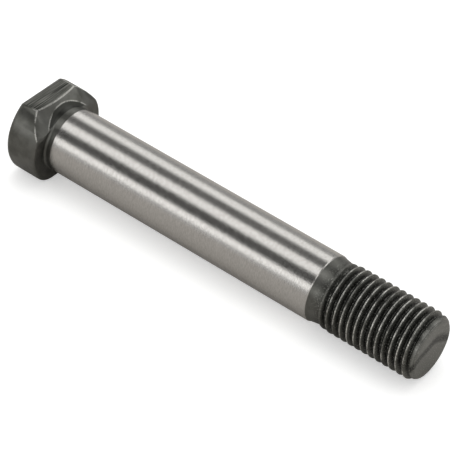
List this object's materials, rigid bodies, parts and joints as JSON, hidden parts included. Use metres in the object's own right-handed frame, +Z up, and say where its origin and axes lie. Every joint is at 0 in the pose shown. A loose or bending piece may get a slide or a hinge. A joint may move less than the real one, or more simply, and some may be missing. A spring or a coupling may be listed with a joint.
{
  "type": "shoulder bolt",
  "caption": "Steel shoulder bolt lying on its side: a round head flattened on top and underneath, a long ground shank and a coarse threaded end.",
  "frame": {"origin": "centre of the footprint, on the surface that the lying bolt rests on", "axes": "+X along the shank from the head to the threaded end, +Z up and out of the head's locking flat, +Y across"},
  "size_m": [0.1522, 0.0314, 0.0258],
  "materials": {
    "blackened_steel": "satin black oxide, brushed by the mill on the flats",
    "ground_steel": "bright, cylindrically ground"
  },
  "bodies": {
    "root": {"shoulder_bolt": "blackened_steel"}
  },
  "joints": []
}
